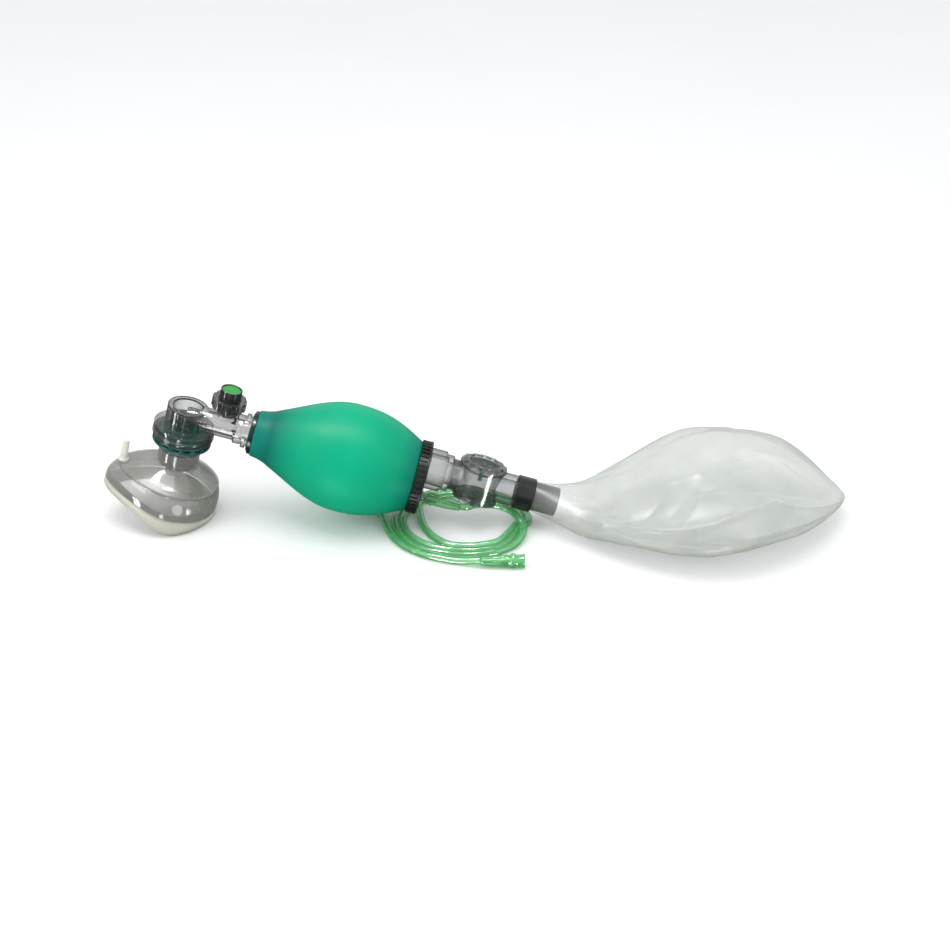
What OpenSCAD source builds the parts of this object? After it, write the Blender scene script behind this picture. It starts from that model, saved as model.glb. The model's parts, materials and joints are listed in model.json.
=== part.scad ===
// Bag valve mask: a child-size manual resuscitator with face mask, oxygen
// reservoir bag and oxygen tubing, lying on a flat surface ready for use.
//
// The rigid string of parts, from mask to reservoir neck, is drawn along its own
// axis and then laid down by tilt: x runs along the squeeze bag, z runs up the
// patient valve, and both meet where the side arm enters the valve.

/* [Pose] */
// Angle that the squeeze bag falls away from the mask, in degrees
tilt = 15.4; // [10:0.1:18]
// Turn of the mask about the valve axis, in degrees
mask_turn = 4; // [-30:1:30]
// Height of the crossing of valve axis and side arm above the floor
axis_height = 85; // [80:0.5:100]

/* [Patient valve] */
// Outside diameter of the exhaust port
port_d = 30; // [26:0.5:34]
// Inside diameter of the exhaust port
port_bore = 22; // [18:0.5:24]
// Height of the port rim above the side arm's axis
port_top = 7.5; // [6:0.5:12]
// Outside diameter of the valve body
valve_d = 45; // [40:0.5:50]
// Depth of the valve body's stack of rings
valve_depth = 13; // [10:0.5:18]
// Outside diameter of the side arm
arm_d = 19; // [16:0.5:22]

/* [Mask] */
// Outside diameter of the patient connector, the 22 mm cone
cone_d = 22; // [20:0.5:24]
// Inside diameter of the patient connector, the 15 mm socket
socket_d = 15; // [14:0.5:16]
// Outside diameter of the mask's grey connector
mask_socket_d = 28; // [26:0.5:30]
// Reach of the mask from the valve axis to the nose end
mask_nose = 50.5; // [40:0.5:65]
// Reach of the mask from the valve axis to the chin end
mask_chin = 35; // [24:0.5:40]
// Half width of the mask
mask_half_w = 38; // [28:0.5:44]
// Depth of the seam between dome and cushion below the arm's axis
seam_depth = 70; // [60:0.5:72]
// Thickness of the clear dome
dome_wall = 1.8; // [1.2:0.1:3]

/* [Relief valve] */
// Distance from the valve axis to the relief valve's axis
relief_x = 28.5; // [24:0.5:34]
// Outside diameter of the relief valve
relief_d = 15.8; // [12:0.2:20]
// Height of the relief cap above the side arm's axis
relief_top = 30.5; // [26:0.5:36]

/* [Squeeze bag] */
// Start of the squeeze bag, from the valve axis
bag_start = 51; // [48:0.5:56]
// Length of the squeeze bag
bag_len = 122; // [110:1:140]
// Largest diameter of the squeeze bag
bag_d = 82; // [70:1:95]
// Wall of the squeeze bag
bag_wall = 1.8; // [1.2:0.1:3]

/* [Intake] */
// Outside diameter of the rear nut
nut_d = 55; // [50:0.5:62]
// Length of the rear nut
nut_len = 7.8; // [6:0.2:12]
// Offset of the intake tube above the bag's axis
intake_rise = 9.5; // [6:0.5:12]
// Offset of the oxygen nipple below the bag's axis
nipple_drop = 15.5; // [12:0.5:18]

/* [Reservoir] */
// Distance from the valve axis to the reservoir valve's axis
barrel_x = 222; // [215:1:230]
// Outside diameter of the reservoir valve's barrel
barrel_d = 34; // [30:0.5:38]
// Lean of the barrel to the back, about the intake tube's axis, in degrees
barrel_turn = 7; // [-20:1:20]
// Height of the barrel
barrel_h = 24; // [20:0.5:30]
// Length of the reservoir bag along the floor
film_len = 232; // [180:1:250]
// Width of the reservoir bag
film_w = 168; // [120:1:180]
// Thickness of the filled reservoir bag
film_h = 62; // [30:1:70]
// Swing of the reservoir bag's far end to the back
film_swing = 32; // [-20:1:60]

/* [Oxygen tube] */
// Diameter of the oxygen tube
tube_d = 5.5; // [5:0.1:7]
// Outside diameter of the coil
coil_d = 114; // [100:1:140]
// Height of the coil
coil_h = 8.5; // [6:0.5:12]

/* [Hidden] */
$fn = 72;

clear_grey = [0.62, 0.64, 0.61, 0.45];
teal = [0.0, 0.43, 0.36];
bag_green = [0.0, 0.66, 0.50];
tube_green = [0.3, 0.75, 0.45, 0.7];
black = [0.08, 0.08, 0.08];
grey = [0.45, 0.45, 0.47];
milky = [0.86, 0.86, 0.80];
film = [0.82, 0.85, 0.82, 0.6];

// Lays the string of rigid parts down on the floor.
module laid() on_floor() translate([0, 0, axis_height]) rotate([0, tilt, 0]) children();
// Puts what is measured from the foot of the valve axis over the part's own middle
module on_floor() translate([-middle[0], -middle[1], 0]) children();
// Turns a solid drawn up its z axis so that it points along the squeeze bag.
module along(x, z = 0) translate([x, 0, z]) rotate([0, 90, 0]) children();
// A ring or tube drawn up its z axis.
module ring(d_out, d_in, h) difference() {
    cylinder(d = d_out, h = h);
    translate([0, 0, -1]) cylinder(d = d_in, h = h + 2);
}

// Heights down the valve axis
body_top = -8.4;
body_bottom = body_top - valve_depth;
flap_z = -16.8;
cone_bottom = -40;
neck_top = -23;
neck_bottom = -41.5;

// --- Mask shell: closed rings of points, from the neck down to the seam ---
mask_n = 56;
// One outline of the mask: a longer, narrower nose half and a round chin half.
function egg(nose, chin, half_w, taper, a) =
    [(cos(a) < 0 ? nose : chin) * cos(a),
     half_w * sin(a) * (1 - taper * pow(max(0, -cos(a)), 1.6))];
function mix(a, b, f) = a + (b - a) * f;
// The dome's levels: reach to the nose, reach to the chin, half width, taper, depth.
// It opens like a bell to a shoulder, rounds over and drops to the seam.
sleeve_r = mask_socket_d / 2 + 1.4;
dome_levels = [
    [sleeve_r, sleeve_r, sleeve_r, 0, 28.5],
    [sleeve_r, sleeve_r, sleeve_r, 0, -neck_bottom],
    [19, 18.5, 18, 0, 44],
    [26, 23, 22.5, 0.08, 47.5],
    [34, 27.5, 27, 0.18, 50.5],
    [40.5, 31.5, 31.5, 0.28, 52.8],
    [45.5, 34.5, 35.2, 0.35, 56.5],
    [mask_nose - 1.2, mask_chin + 0.6, mask_half_w - 0.6, 0.4, 63],
    [mask_nose, mask_chin, mask_half_w, 0.42, seam_depth]];
// The seam falls a little from nose to chin.
mask_pitch = 0.1;
function pitch_at(level) = mask_pitch * max(0, level - 1) / (len(dome_levels) - 2);
sleeve_wall = 1.3;
function dome_ring(j, side) = let (v = dome_levels[j], last = len(dome_levels) - 1,
        inset = side * (j < 2 ? sleeve_wall : dome_wall), drop = j == 0 ? 0 : side * dome_wall * (1 - j / last))
    [for (i = [0 : mask_n - 1])
        let (p = egg(v[0] - inset, v[1] - inset, v[2] - inset, v[3], 360 * i / mask_n))
        [p[0], p[1], -v[4] - drop - p[0] * pitch_at(j)]];
// Joins equal rings of points into one closed solid that turns back on itself.
module tube_of(rings) {
    n = len(rings[0]);
    m = len(rings);
    points = [for (r = rings) for (p = r) p];
    faces = [for (j = [0 : m - 1]) for (i = [0 : n - 1]) let (k = (j + 1) % m, l = (i + 1) % n)
        each [[j * n + i, j * n + l, k * n + l], [j * n + i, k * n + l, k * n + i]]];
    polyhedron(points = points, faces = faces);
}
// Joins equal rings of points into one solid with flat ends.
module loft(rings) {
    n = len(rings[0]);
    m = len(rings);
    points = [for (r = rings) for (p = r) p];
    sides = [for (j = [0 : m - 2]) for (i = [0 : n - 1]) let (l = (i + 1) % n)
        each [[j * n + i, j * n + l, (j + 1) * n + l], [j * n + i, (j + 1) * n + l, (j + 1) * n + i]]];
    polyhedron(points = points, faces = concat(sides,
        [[for (i = [n - 1 : -1 : 0]) i]], [[for (i = [0 : n - 1]) (m - 1) * n + i]]));
}

// --- Mask cushion: an oval tube along the seam that rests on the floor at the
// cheeks and chin, and is thin over the nose ---
cushion_w = 11.4;
cushion_n = 14;
cushion_in = 5.3;
// Depth of the floor and of the seam under a point of the mask
function floor_at(p) = (axis_height - (p[0] * cos(mask_turn) - p[1] * sin(mask_turn)) * sin(tilt)) / cos(tilt);
function seam_at(p) = seam_depth + p[0] * mask_pitch;
function ease(f) = let (c = min(1, max(0, f))) c * c * (3 - 2 * c);
// Depth of the cushion's sealing face at an angle round the mask, from the chin
function face_at(a, p) = mix(floor_at(p), seam_at(p) + 8, ease((abs(a) - 68) / 56));
function cushion_ring(i) = let (a = 360 * i / mask_n - 180,
        p = egg(mask_nose - cushion_in, mask_chin - cushion_in, mask_half_w - cushion_in, 0.42, a),
        q = egg(mask_nose - cushion_in, mask_chin - cushion_in, mask_half_w - cushion_in, 0.42, a + 2),
        n = [q[1] - p[1], p[0] - q[0]] / norm(q - p))
    [for (k = [0 : cushion_n - 1]) let (b = 360 * k / cushion_n, w = cushion_w / 2 * cos(b),
        e = [p[0] + n[0] * w, p[1] + n[1] * w], top = seam_at(e) + 0.1, low = face_at(a, e))
        [e[0], e[1], -(top + low) / 2 + (low - top) / 2 * sin(b)]];
cushion_rings = [for (i = [0 : mask_n - 1]) cushion_ring(i)];
module mask_place() rotate([0, 0, mask_turn]) children();

// ---------------------------- patient valve ----------------------------
inlet_d = 14;
inlet_bore = 11;
module exhaust_housing() color(clear_grey) laid() difference() {
    union() {
        difference() {
            union() {
                translate([0, 0, body_top - 0.5]) cylinder(d = port_d, h = port_top - body_top + 0.5);
                translate([0, 0, body_top - 2.6]) cylinder(d = valve_d, h = 2.6);
                translate([0, 0, body_top - 4.6]) cylinder(d = valve_d - 3, h = 3);
                along(8) cylinder(d = arm_d, h = 29);
                translate([relief_x, 0, 0]) cylinder(d = relief_d - 2.6, h = arm_d / 2 + 2.5);
            }
            translate([0, 0, -14]) cylinder(d = port_bore, h = 30);
        }
        translate([0, 0, body_top - 5.6]) cylinder(d = inlet_d, h = 5.6 - body_top);
        along(0) cylinder(d = inlet_d - 1, h = 14);
    }
    translate([0, 0, -20]) cylinder(d = inlet_bore, h = 21);
    along(0) cylinder(d = inlet_bore - 1.5, h = 16);
    along(15) cylinder(d = arm_d - 4, h = 25);
    translate([relief_x, 0, 0]) cylinder(d = 8, h = 20);
}
module valve_body() color(clear_grey) laid() difference() {
    union() {
        translate([0, 0, -17]) ring(valve_d - 1, valve_d - 8, 4);
        translate([0, 0, -15.8]) ring(valve_d + 0.6, valve_d - 8, 1.6);
        translate([0, 0, -20.4]) ring(valve_d - 5, valve_d - 16, 3.5);
    }
    translate([0, 0, -17]) cylinder(d = valve_d - 6, h = 10);
}
module exhalation_flap() color(teal) laid() translate([0, 0, flap_z]) ring(36, 16, 0.9);
module duckbill_valve() color(teal) laid() {
    translate([0, 0, -15.4]) ring(15.6, 7.5, 1.4);
    difference() {
        hull() {
            translate([0, 0, -16]) cylinder(d = 10.5, h = 0.8, $fn = 32);
            translate([-4.5, -0.9, -23]) cube([9, 1.8, 0.5]);
        }
        hull() {
            translate([0, 0, -15.7]) cylinder(d = 7.5, h = 0.8, $fn = 32);
            translate([-3.2, -0.25, -24]) cube([6.4, 0.5, 0.5]);
        }
    }
}
castle_slots = 16;
module castle_ring() color(teal) laid() difference() {
    union() {
        translate([0, 0, body_bottom - 1]) ring(valve_d - 1.6, valve_d - 4.8, 5);
        translate([0, 0, body_bottom - 1]) ring(valve_d - 2, cone_d + 2.6, 0.9);
    }
    for (i = [0 : castle_slots - 1]) rotate([0, 0, i * 360 / castle_slots])
        translate([valve_d / 2 - 4, -2.6, body_bottom + 0.9]) cube([6, 5.2, 1.5]);
}
module patient_connector() color(grey) laid() difference() {
    union() {
        translate([0, 0, body_bottom]) cylinder(d = 27, h = 2.4);
        translate([0, 0, -26]) cylinder(d = cone_d + 2, h = 6);
        translate([0, 0, cone_bottom]) cylinder(d = cone_d, h = 14);
    }
    translate([0, 0, cone_bottom - 1]) cylinder(d = socket_d, h = 17);
    translate([0, 0, -24]) cylinder(d = 18.5, h = 8);
}

// -------------------------------- mask --------------------------------
module mask_connector() color(grey) laid() mask_place() difference() {
    translate([0, 0, neck_bottom]) cylinder(d = mask_socket_d, h = neck_top - neck_bottom);
    translate([0, 0, neck_bottom - 1]) cylinder(d = cone_d + 0.1, h = 17);
    translate([0, 0, -26.3]) cylinder(d = cone_d + 2.6, h = 6);
}
module mask_dome() color(clear_grey) laid() mask_place() tube_of(concat(
    [for (j = [0 : len(dome_levels) - 1]) dome_ring(j, 0)],
    [for (j = [len(dome_levels) - 1 : -1 : 0]) dome_ring(j, 1)]));
module mask_cushion() color(milky) laid() mask_place() tube_of(cushion_rings);
stud_at = [9, -36.6, -60];
module strap_studs() color(clear_grey) laid() mask_place() for (side = [-1, 1])
    translate([stud_at[0], -side * stud_at[1], stud_at[2]]) rotate([side * -65, 0, 0]) {
        cylinder(d = 8, h = 1.4);
        cylinder(d = 5, h = 3);
    }
tube_at = -39.5;
module inflation_tube() color(milky) laid() mask_place() translate([tube_at, 0, 0]) difference() {
    union() {
        translate([0, 0, -50]) cylinder(d1 = 6, d2 = 4.8, h = 16);
        translate([0, 0, -50]) cylinder(d = 7.8, h = 2);
    }
    translate([0, 0, -51]) cylinder(d = 2.6, h = 20);
}
module inflation_plug() color(milky) laid() mask_place() translate([tube_at, 0, 0]) {
    translate([0, 0, -34]) cylinder(d = 4.7, h = 1.2);
    translate([0, 0, -38]) cylinder(d = 2.5, h = 4.2);
}

// ----------------------------- relief valve -----------------------------
collar_z = 15.5;
collar_h = 7.3;
module relief_body() color(clear_grey) laid() translate([relief_x, 0, 0]) difference() {
    union() {
        translate([0, 0, 9.6]) cylinder(d = relief_d - 0.8, h = 13);
        for (i = [0 : 3]) translate([0, 0, 10.4 + i * 1.5]) cylinder(d = relief_d + 0.2, h = 0.8);
    }
    translate([0, 0, -1]) cylinder(d = relief_d - 2.6, h = arm_d / 2 + 3.6);
    translate([0, 0, 9]) cylinder(d = relief_d - 4, h = 20);
}
module relief_poppet() color(teal) laid() translate([relief_x, 0, 0]) {
    translate([0, 0, 12.2]) cylinder(d = 10.2, h = 1.2);
    translate([0, 0, 12.2]) cylinder(d = 3, h = 16.4);
}
module relief_spring() color([0.75, 0.75, 0.76]) laid() translate([relief_x, 0, 13.6]) ring(8.6, 6.4, 9.4);
module relief_collar() color(clear_grey) laid() translate([relief_x, 0, collar_z]) difference() {
    intersection() {
        cylinder(d = 27, h = collar_h, $fn = 8);
        cylinder(d = 25.4, h = collar_h);
    }
    translate([0, 0, -1]) cylinder(d = relief_d + 0.9, h = collar_h + 2);
    for (i = [0 : 7]) rotate([0, 0, i * 45 + 22.5]) translate([11.6, -1, -1]) cube([4, 2, collar_h + 2]);
}
module relief_cap() color(black) laid() translate([relief_x, 0, 22.9]) difference() {
    cylinder(d = relief_d, h = relief_top - 22.9);
    translate([0, 0, -1]) cylinder(d = 4, h = 10);
    translate([0, 0, 4.2]) cylinder(d = relief_d - 1.7, h = 8);
    translate([0, 0, -1]) cylinder(d = relief_d - 3, h = 1.6);
}
module relief_disc() color([0, 0.7, 0.22]) laid() translate([relief_x, 0, 28.6]) cylinder(d = relief_d - 2.2, h = 1.1);

// ------------------------------ bag neck ------------------------------
module neck_coupling() color(clear_grey) laid() difference() {
    union() {
        along(37) cylinder(d = 22.4, h = 5.5);
        along(42.5) cylinder(d = 20.6, h = 1.2);
        along(43.5) cylinder(d = 26, h = 3);
        along(46) cylinder(d = 23, h = 2);
        along(47) cylinder(d = 22, h = 17);
    }
    along(36) cylinder(d = arm_d - 4, h = 40);
}
module coupling_clips() color(black) laid() for (a = [35, 215]) rotate([a, 0, 0]) {
    translate([35, -2.4, arm_d / 2 + 0.1]) cube([1.9, 4.8, 1.5]);
    translate([33.8, -2.4, arm_d / 2 + 0.1]) cube([3.1, 1.4, 1.5]);
}
module neck_seal() color(teal) laid() along(48.1) ring(29, 23.1, 0.9);
module neck_ring() color(black) laid() along(49.1) ring(32.5, 22.1, 2.7);

// ----------------------------- squeeze bag -----------------------------
// Radius of the bag's outside at a share of its length
bag_neck_d = 34;
bag_rear_d = 52;
function bag_r(f) = let (peak = 0.57)
    f < peak ? mix(bag_neck_d / 2, bag_d / 2, pow(sin(90 * pow(f / peak, 1.12)), 1.25))
             : mix(bag_rear_d / 2, bag_d / 2, cos(90 * pow((f - peak) / (1 - peak), 1.25)));
bag_steps = 30;
bag_x = bag_start + 1;
module squeeze_bag() color(bag_green) laid() along(bag_x) rotate_extrude($fn = 96) polygon(concat(
    [for (i = [0 : bag_steps]) [bag_r(i / bag_steps), bag_len * i / bag_steps]],
    [for (i = [bag_steps : -1 : 0]) [bag_r(i / bag_steps) - bag_wall, bag_len * i / bag_steps]]));

// -------------------------------- intake --------------------------------
nut_x = bag_x + bag_len + 0.1;
nut_ribs = 44;
rear_x = nut_x + nut_len;
module rear_nut() color(black) laid() along(nut_x) difference() {
    union() {
        cylinder(d = nut_d - 1.2, h = nut_len);
        translate([0, 0, nut_len - 1.6]) cylinder(d = nut_d + 1.2, h = 1.6);
        for (i = [0 : nut_ribs - 1]) rotate([0, 0, i * 360 / nut_ribs])
            translate([nut_d / 2 - 1.4, -0.9, 0]) cube([1.7, 1.8, nut_len - 0.8]);
    }
    translate([0, 0, -1]) cylinder(d = nut_d - 8, h = nut_len - 1);
    translate([0, 0, -2]) cylinder(d = nut_d - 12, h = nut_len + 4);
}
intake_bore = 17;
module intake_housing() color(clear_grey) laid() difference() {
    union() {
        along(rear_x - 4.9) cylinder(d = nut_d - 8.4, h = 2.6);
        along(rear_x - 3) cylinder(d = nut_d - 12.6, h = 3.4);
        along(rear_x, intake_rise) intersection() {
            cylinder(d = 31, h = 12);
            translate([intake_rise, 0, 0]) cylinder(d = 2 * nut_d, h = 12);
        }
        along(rear_x + 11.9, intake_rise) cylinder(d = 27.4, h = 5.6);
        along(rear_x + 17, intake_rise) cylinder(d = 26.6, h = 0.9);
        along(rear_x + 17, intake_rise) cylinder(d = 21.4, h = 7.5);
    }
    along(rear_x + 1, intake_rise) cylinder(d = 24, h = 13);
    along(rear_x - 6, intake_rise - 3) cylinder(d = intake_bore, h = 8);
    along(rear_x, intake_rise) cylinder(d = intake_bore, h = 30);
    along(rear_x - 6, -nipple_drop) cylinder(d = 3, h = 12);
}
module intake_seat() color(clear_grey) laid() difference() {
    along(nut_x + 0.2) cylinder(d = nut_d - 12.8, h = 2.4);
    for (a = [0 : 60 : 359]) along(nut_x - 1) rotate([0, 0, a]) translate([9.5, 0, 0]) cylinder(d = 6, h = 6);
    along(nut_x - 1) cylinder(d = 4, h = 6);
}
module intake_valve() color(teal) laid() {
    along(nut_x - 0.8) cylinder(d = 30, h = 0.9);
    along(nut_x - 0.8) cylinder(d = 3.9, h = 4);
}
module oxygen_nipple() color(clear_grey) laid() difference() {
    union() {
        along(rear_x + 0.4, -nipple_drop) cylinder(d = 8.4, h = 2.2);
        along(rear_x + 0.4, -nipple_drop) cylinder(d = 5.6, h = 12);
        along(rear_x + 4.2, -nipple_drop) cylinder(d = 6.8, h = 1);
    }
    along(rear_x, -nipple_drop) cylinder(d = 3, h = 20);
}

// ------------------------------ reservoir ------------------------------
// Leans what is drawn up the barrel's axis, at the height of the intake tube
module barrel_place() translate([barrel_x, 0, intake_rise]) rotate([-barrel_turn, 0, 0]) children();
barrel_top = barrel_h / 2;
barrel_base = -barrel_h / 2;
inlet_end = rear_x + 18.2;
module reservoir_barrel() color(clear_grey) laid() difference() {
    union() {
        barrel_place() translate([0, 0, barrel_base]) cylinder(d = barrel_d, h = barrel_h);
        along(inlet_end, intake_rise) cylinder(d = 23.4, h = barrel_x - inlet_end);
        along(barrel_x, intake_rise) cylinder(d = 23.8, h = 28);
        along(barrel_x + 27, intake_rise) cylinder(d = 17.8, h = 14);
    }
    barrel_place() translate([0, 0, barrel_base - 1]) cylinder(d = barrel_d - 3.4, h = barrel_h + 2);
    along(inlet_end - 1, intake_rise) cylinder(d = 21.5, h = 10);
    along(inlet_end - 1, intake_rise) cylinder(d = 19, h = 20);
    along(barrel_x + 4, intake_rise) cylinder(d = 15, h = 40);
}
cap_slots = 14;
module barrel_cap() color(clear_grey) laid() barrel_place() translate([0, 0, barrel_top]) difference() {
    union() {
        cylinder(d = barrel_d + 1.6, h = 2.8);
        translate([0, 0, 2.8]) cylinder(d1 = barrel_d + 0.4, d2 = barrel_d - 8, h = 1.8);
        translate([0, 0, -1.8]) cylinder(d = barrel_d - 3.6, h = 2);
    }
    translate([0, 0, -2]) cylinder(d = barrel_d - 8, h = 2.6);
    translate([0, 0, 1.8]) cylinder(d = 23, h = 4);
    cylinder(d = 3.4, h = 6);
    for (i = [0 : 5]) rotate([0, 0, i * 60 + 30]) translate([6.2, 0, 0]) cylinder(d = 3.4, h = 4);
    for (i = [0 : cap_slots - 1]) rotate([0, 0, i * 360 / cap_slots])
        translate([barrel_d / 2 - 3, -2, 2]) cube([6, 4, 4]);
}
module reservoir_relief() color(teal) laid() barrel_place() translate([0, 0, barrel_top]) {
    translate([0, 0, 1.9]) cylinder(d = 20, h = 0.9);
    translate([0, 0, -11]) cylinder(d = 3.2, h = 13);
    translate([0, 0, -4]) cylinder(d1 = 3.2, d2 = 5.2, h = 3.2);
}
module barrel_floor() color(clear_grey) laid() barrel_place() translate([0, 0, barrel_base]) difference() {
    union() {
        translate([0, 0, -1.8]) cylinder(d = barrel_d + 0.4, h = 1.8);
        translate([0, 0, -0.5]) cylinder(d = barrel_d - 3.6, h = 2.2);
        translate([0, 0, -2.8]) ring(12, 9, 1.5);
    }
    translate([0, 0, -4]) cylinder(d = 3.4, h = 8);
    for (i = [0 : 5]) rotate([0, 0, i * 60]) translate([7.4, 0, -4]) cylinder(d = 4, h = 8);
}
module air_inlet_valve() color(teal) laid() barrel_place() translate([0, 0, barrel_base]) {
    translate([0, 0, 1.8]) cylinder(d = 22, h = 0.9);
    translate([0, 0, -8]) cylinder(d = 3.2, h = 10);
    translate([0, 0, -6.4]) cylinder(d1 = 3.2, d2 = 5, h = 2.2);
}
sleeve_x = barrel_x + 28.4;
module reservoir_sleeve() color(black) laid() {
    along(sleeve_x, intake_rise) ring(25.6, 21.9, 13.2);
}
module reservoir_connector() color(grey) laid() difference() {
    along(sleeve_x + 1, intake_rise) cylinder(d = 21.8, h = 31);
    along(sleeve_x, intake_rise) cylinder(d = 18, h = 40);
}
// The film bag: a neck round the connector that widens into a pillow on the floor,
// measured from the foot of the valve axis.
film_from = sleeve_x + 13.4;
film_x = film_from * cos(tilt) + intake_rise * sin(tilt);
film_z = axis_height - film_from * sin(tilt) + intake_rise * cos(tilt);
film_steps = 22;
film_sides = 32;
film_neck = 11.6;
// Share of the length over which the neck stays in line with the connector
film_straight = 0.12;
// Half width, half thickness, lean and middle of the bag at a share of its length
function film_half_w(f) = mix(film_neck, film_w / 2, pow(sin(90 * min(1, f / 0.58)), 1.5))
    * (f < 0.58 ? 1 : pow(cos(80 * (f - 0.58) / 0.42), 0.6));
function film_half_h(f) = mix(film_neck, film_h / 2, pow(sin(90 * min(1, f / 0.6)), 1.6))
    * (f < 0.6 ? 1 : pow(cos(80 * (f - 0.6) / 0.4), 0.8));
function film_lean(f) = tilt * (1 - ease(f / film_straight));
function film_mid_y(f) = film_swing * pow(f, 1.6) - 7 * sin(180 * pow(f, 0.8));
function film_mid_z(f) = max(film_half_h(f) + 12 * pow(f, 6),
    film_z - f * film_len * tan(tilt) + max(0, f - film_straight) * 20) + 0.05;
function film_ring(f) = [for (i = [0 : film_sides - 1])
    let (a = 360 * i / film_sides, up = film_half_h(f) * sin(a))
    [film_x + film_len * f + up * sin(film_lean(f)), film_mid_y(f) + film_half_w(f) * cos(a),
     film_mid_z(f) + up * cos(film_lean(f))]];
film_rings = [for (j = [0 : film_steps]) film_ring(j / film_steps)];
module reservoir_bag() color(film) difference() {
    on_floor() loft(film_rings);
    laid() along(sleeve_x, intake_rise) cylinder(d = 21.9, h = 33);
}

// The part's origin is under the middle of the mask-to-bag length and of the bag's width.
nose_end = min([for (r = cushion_rings) for (p = r)
    (p[0] * cos(mask_turn) - p[1] * sin(mask_turn)) * cos(tilt) + p[2] * sin(tilt)]);
film_y = [for (r = film_rings) for (p = r) p[1]];
middle = [(nose_end + film_x + film_len) / 2, (min(film_y) + max(film_y)) / 2];

// ----------------------------- oxygen tube -----------------------------
coil_at = [202, -4];
module tube_socket() color(tube_green) laid() difference() {
    union() {
        along(rear_x + 6, -nipple_drop) cylinder(d = 9.6, h = 16);
        along(rear_x + 9, -nipple_drop) cylinder(d = 10.8, h = 1.6);
        along(rear_x + 21.9, -nipple_drop) cylinder(d1 = 9.6, d2 = 7.4, h = 10);
    }
    along(rear_x + 5, -nipple_drop) cylinder(d = 5.7, h = 9);
    along(rear_x + 5, -nipple_drop) cylinder(d = 3, h = 40);
}
module oxygen_coil() color(tube_green) on_floor() translate([coil_at[0], coil_at[1], 0.02]) ring(coil_d, coil_d - 40, coil_h);
// The tube from its socket down to the coil, and from the coil to the free end:
// round points on the centreline, from the foot of the valve axis
socket_end = [(rear_x + 31.9) * cos(tilt) - nipple_drop * sin(tilt), 0,
              axis_height - (rear_x + 31.9) * sin(tilt) - nipple_drop * cos(tilt)];
near_route = [socket_end, socket_end + [4.8, 1, -1.2], [213, 5.5, 11.6], [224, 6.5, 11.6], [234, 4, 11.4],
              [242, -2, 11], [247, -10, 9.6], [249, -18, 7]];
free_route = [[208, -61, 3.6], [213, -62.5, 4.5], [221, -63.5, 5.5]];
end_at = [221, -63.5, 5.5];
tube_sides = 10;
function unit(v) = v / norm(v);
// Sides of the tube in a ring about point j of a route
function route_ring(route, j) = let (n = len(route),
        d = unit(route[min(j + 1, n - 1)] - route[max(j - 1, 0)]),
        s = unit(cross(d, [0, 0, 1])), u = cross(s, d))
    [for (k = [0 : tube_sides - 1]) let (a = 360 * k / tube_sides)
        route[j] + tube_d / 2 * (cos(a) * s + sin(a) * u)];
module tube_along(route) loft([for (j = [0 : len(route) - 1]) route_ring(route, j)]);
module oxygen_tube() color(tube_green) on_floor() {
    tube_along(near_route);
    tube_along(free_route);
}
module tube_end() color(tube_green) on_floor() translate(end_at) rotate([0, 90, 3]) difference() {
    union() {
        cylinder(d1 = 8.2, d2 = 9.6, h = 14);
        translate([0, 0, 14]) cylinder(d = 9.6, h = 18);
        translate([0, 0, 23]) cylinder(d = 10.8, h = 1.6);
    }
    translate([0, 0, -1]) cylinder(d = 3.4, h = 40);
    translate([0, 0, 14]) cylinder(d = 6, h = 20);
}

exhaust_housing();
valve_body();
exhalation_flap();
duckbill_valve();
castle_ring();
patient_connector();
mask_connector();
mask_dome();
mask_cushion();
strap_studs();
inflation_tube();
inflation_plug();
relief_body();
relief_poppet();
relief_spring();
relief_collar();
relief_cap();
relief_disc();
neck_coupling();
coupling_clips();
neck_seal();
neck_ring();
squeeze_bag();
rear_nut();
intake_housing();
intake_seat();
intake_valve();
oxygen_nipple();
reservoir_barrel();
barrel_cap();
reservoir_relief();
barrel_floor();
air_inlet_valve();
reservoir_sleeve();
reservoir_connector();
reservoir_bag();
tube_socket();
oxygen_tube();
oxygen_coil();
tube_end();
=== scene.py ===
"""Looks of the bag valve mask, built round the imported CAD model."""
import json
import math

import bpy
from mathutils import Matrix, Vector, noise


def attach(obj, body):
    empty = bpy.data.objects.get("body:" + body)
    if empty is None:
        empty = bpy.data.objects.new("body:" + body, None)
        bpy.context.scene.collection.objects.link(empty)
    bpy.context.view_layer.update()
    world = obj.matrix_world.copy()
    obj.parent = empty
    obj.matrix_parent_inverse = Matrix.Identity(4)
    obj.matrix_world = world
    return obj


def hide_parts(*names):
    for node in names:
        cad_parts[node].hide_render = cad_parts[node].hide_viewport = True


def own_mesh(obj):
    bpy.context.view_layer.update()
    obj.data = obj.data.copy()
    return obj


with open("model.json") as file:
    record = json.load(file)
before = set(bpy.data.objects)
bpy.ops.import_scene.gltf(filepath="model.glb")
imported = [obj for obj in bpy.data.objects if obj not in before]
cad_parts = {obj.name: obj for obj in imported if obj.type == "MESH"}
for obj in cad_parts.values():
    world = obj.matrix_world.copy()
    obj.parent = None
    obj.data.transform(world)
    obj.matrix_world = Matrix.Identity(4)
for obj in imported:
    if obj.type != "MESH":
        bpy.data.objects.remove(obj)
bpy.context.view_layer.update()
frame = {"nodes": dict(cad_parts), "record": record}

MM = 0.001
nodes = frame["nodes"]
mounts = {m["name"]: m for m in frame["record"]["mounts"]}

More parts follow.
